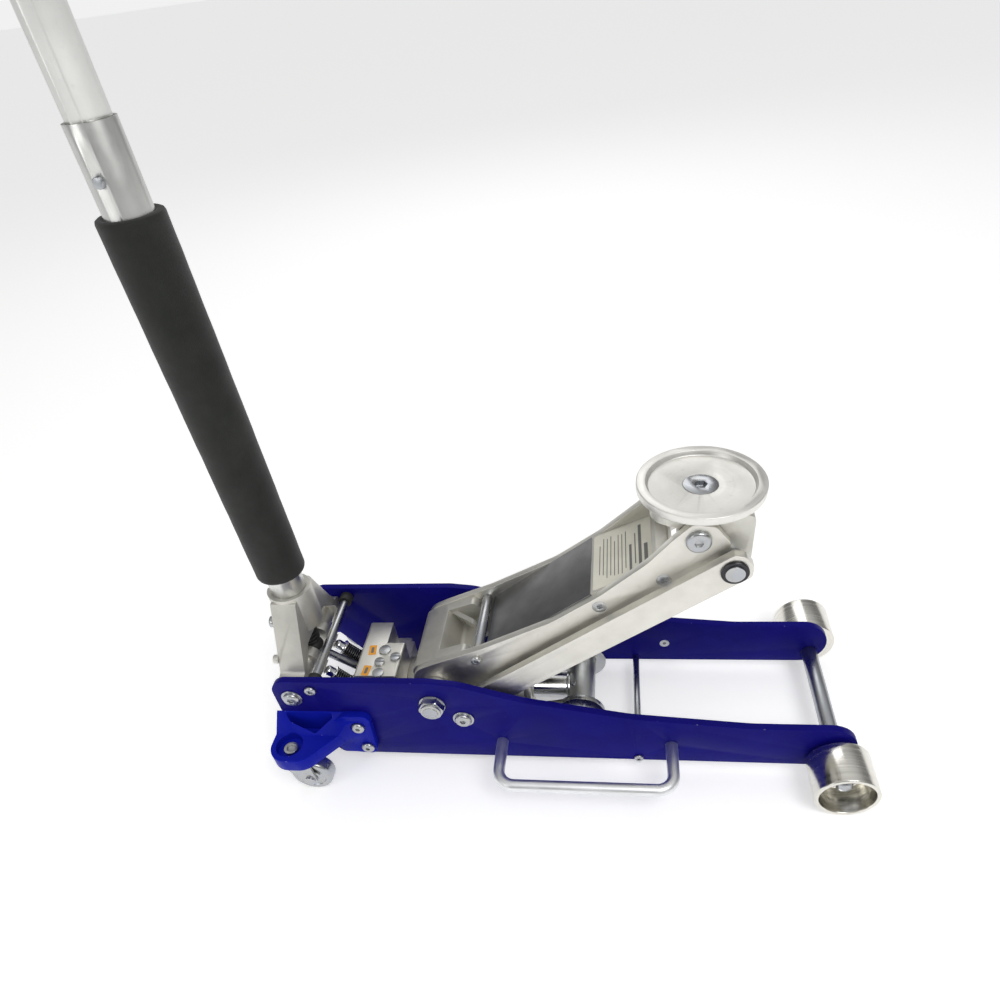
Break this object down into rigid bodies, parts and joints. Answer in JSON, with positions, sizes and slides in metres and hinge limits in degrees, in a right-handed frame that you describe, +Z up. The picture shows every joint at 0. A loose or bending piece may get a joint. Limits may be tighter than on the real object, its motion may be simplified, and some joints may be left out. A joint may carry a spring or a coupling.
{
  "type": "hydraulic floor jack",
  "caption": "Low-profile trolley jack: side-plate chassis on wheels and casters, hydraulic parallelogram lift arm, turning saddle and upright pump handle.",
  "frame": {"origin": "on the floor, below the middle of the jack's overall box", "axes": "+X towards the front wheels and saddle, +Y to the jack's left, +Z up"},
  "size_m": [0.6452, 0.285, 1.14],
  "materials": {
    "blue_paint": "deep blue powder coat over machined plate",
    "blue_casting": "blue powder coat over sand-cast metal",
    "milled_aluminium": "milled, then bead-blasted",
    "turned_aluminium": "turned, with fine rings",
    "cast_aluminium": "bead-blasted casting",
    "grey_panel": "smooth grey sheet",
    "zinc_steel": "zinc plated",
    "satin_steel": "satin ground steel",
    "chrome": "ground and chromed",
    "black_rubber": "moulded rubber",
    "foam": "closed-cell foam"
  },
  "bodies": {
    "frame": {"side_plate_right": "blue_paint", "side_plate_left": "blue_paint", "front_axle": "satin_steel", "wheel_nuts": "zinc_steel", "front_rod": "zinc_steel", "rear_bar": "zinc_steel", "rear_bumpers": "black_rubber", "plate_screws": "zinc_steel", "pivot_bolts": "zinc_steel", "caster_bracket_right": "blue_casting", "caster_bracket_left": "blue_casting", "king_bolts": "zinc_steel", "carry_handle_right": "satin_steel", "carry_handle_left": "satin_steel", "carry_handle_screws": "zinc_steel", "main_axle": "satin_steel", "main_nuts": "zinc_steel", "spacer_bushes": "milled_aluminium", "pump_block": "milled_aluminium", "block_plugs": "zinc_steel", "reservoir_tube": "milled_aluminium", "cylinder_tube": "satin_steel", "cylinder_head": "milled_aluminium", "return_spring": "satin_steel", "plunger_glands": "black_rubber", "plunger_springs": "satin_steel"},
    "wheel_right": {"front_wheel_right": "turned_aluminium"},
    "wheel_left": {"front_wheel_left": "turned_aluminium"},
    "fork_right": {"caster_fork_right": "zinc_steel"},
    "fork_left": {"caster_fork_left": "zinc_steel"},
    "roller_right": {"caster_wheel_right": "black_rubber"},
    "roller_left": {"caster_wheel_left": "black_rubber"},
    "lift_arm": {"arm_plate_right": "milled_aluminium", "arm_plate_left": "milled_aluminium", "arm_rear_casting": "cast_aluminium", "arm_floor_panel": "grey_panel", "arm_front_casting": "cast_aluminium", "arm_cross_rod": "zinc_steel", "arm_screws": "zinc_steel", "pull_pins": "satin_steel", "saddle_bolt": "zinc_steel"},
    "right_link": {"link_right": "milled_aluminium"},
    "left_link": {"link_left": "milled_aluminium"},
    "bracket": {"saddle_bracket": "cast_aluminium", "link_pin": "zinc_steel", "saddle_screw": "zinc_steel"},
    "saddle_disc": {"saddle": "turned_aluminium"},
    "ram_set": {"ram": "chrome", "crosshead": "satin_steel", "pull_plates": "zinc_steel"},
    "handle_yoke": {"yoke": "cast_aluminium", "clamp_bolt": "zinc_steel"},
    "handle": {"drive_socket": "black_rubber", "handle_tube": "satin_steel", "foam_sleeve": "foam", "upper_tube": "satin_steel", "handle_grip": "black_rubber"},
    "snap_button": {"joint_button": "zinc_steel"},
    "plungers": {"pump_plungers": "chrome"},
    "release": {"release_shaft": "satin_steel"}
  },
  "joints": [
    {"name": "right_wheel_spin", "type": "hinge", "parent": "frame", "child": "wheel_right", "pos_m": [0.2906, -0.106, 0.032], "axis": [0, 1, 0], "continuous": true},
    {"name": "left_wheel_spin", "type": "hinge", "parent": "frame", "child": "wheel_left", "pos_m": [0.2906, 0.106, 0.032], "axis": [0, 1, 0], "continuous": true},
    {"name": "right_caster_swivel", "type": "hinge", "parent": "frame", "child": "fork_right", "pos_m": [-0.3014, -0.112, 0.05], "axis": [0, 0, 1], "continuous": true},
    {"name": "left_caster_swivel", "type": "hinge", "parent": "frame", "child": "fork_left", "pos_m": [-0.3014, 0.112, 0.05], "axis": [0, 0, 1], "continuous": true},
    {"name": "right_caster_spin", "type": "hinge", "parent": "fork_right", "child": "roller_right", "pos_m": [-0.2874, -0.112, 0.024], "axis": [0, 1, 0], "continuous": true},
    {"name": "left_caster_spin", "type": "hinge", "parent": "fork_left", "child": "roller_left", "pos_m": [-0.2874, 0.112, 0.024], "axis": [0, 1, 0], "continuous": true},
    {"name": "arm_lift", "type": "hinge", "parent": "frame", "child": "lift_arm", "pos_m": [-0.1368, 0, 0.1078], "axis": [0, -1, 0], "range_deg": [-45, 35]},
    {"name": "right_link_turn", "type": "hinge", "parent": "frame", "child": "right_link", "pos_m": [-0.1058, -0.0617, 0.0838], "axis": [0, -1, 0], "range_deg": [-45, 35]},
    {"name": "left_link_turn", "type": "hinge", "parent": "frame", "child": "left_link", "pos_m": [-0.1058, 0.0617, 0.0838], "axis": [0, -1, 0], "range_deg": [-45, 35]},
    {"name": "bracket_level", "type": "hinge", "parent": "lift_arm", "child": "bracket", "pos_m": [0.13249, 0, 0.30707], "axis": [0, -1, 0], "range_deg": [-35, 45]},
    {"name": "saddle_turn", "type": "hinge", "parent": "bracket", "child": "saddle_disc", "pos_m": [0.13699, 0, 0.32707], "axis": [0, 0, 1], "continuous": true},
    {"name": "ram_stroke", "type": "slide", "parent": "frame", "child": "ram_set", "axis": [1, 0, 0], "range_m": [-0.03859, 0.03006]},
    {"name": "handle_tilt", "type": "hinge", "parent": "frame", "child": "handle_yoke", "pos_m": [-0.2959, 0, 0.115], "axis": [0, -1, 0], "range_deg": [0, 75]},
    {"name": "handle_twist", "type": "hinge", "parent": "handle_yoke", "child": "handle", "pos_m": [-0.2959, 0, 0.19], "axis": [0, 0, 1], "range_deg": [0, 180]},
    {"name": "snap_button_press", "type": "slide", "parent": "handle", "child": "snap_button", "axis": [0, 1, 0], "range_m": [0, 0.003], "stiffness_N_per_m": 400, "springref_m": -0.002},
    {"name": "pump_stroke", "type": "slide", "parent": "frame", "child": "plungers", "axis": [0.6691, 0, -0.7431], "range_m": [0, 0.01205], "deforming": ["plunger_springs"]},
    {"name": "release_turn", "type": "hinge", "parent": "frame", "child": "release", "pos_m": [-0.2959, 0, 0.115], "axis": [0.788, 0, -0.6157], "range_deg": [-180, 0]}
  ],
  "couplings": [
    {"joint": "right_link_turn", "follows": "arm_lift", "ratio": 1},
    {"joint": "left_link_turn", "follows": "arm_lift", "ratio": 1},
    {"joint": "bracket_level", "follows": "arm_lift", "ratio": -1},
    {"joint": "ram_stroke", "follows": "arm_lift", "m_per_rad": 0.04888},
    {"joint": "pump_stroke", "follows": "handle_tilt", "m_per_rad": 0.009167},
    {"joint": "release_turn", "follows": "handle_twist", "ratio": -1}
  ]
}
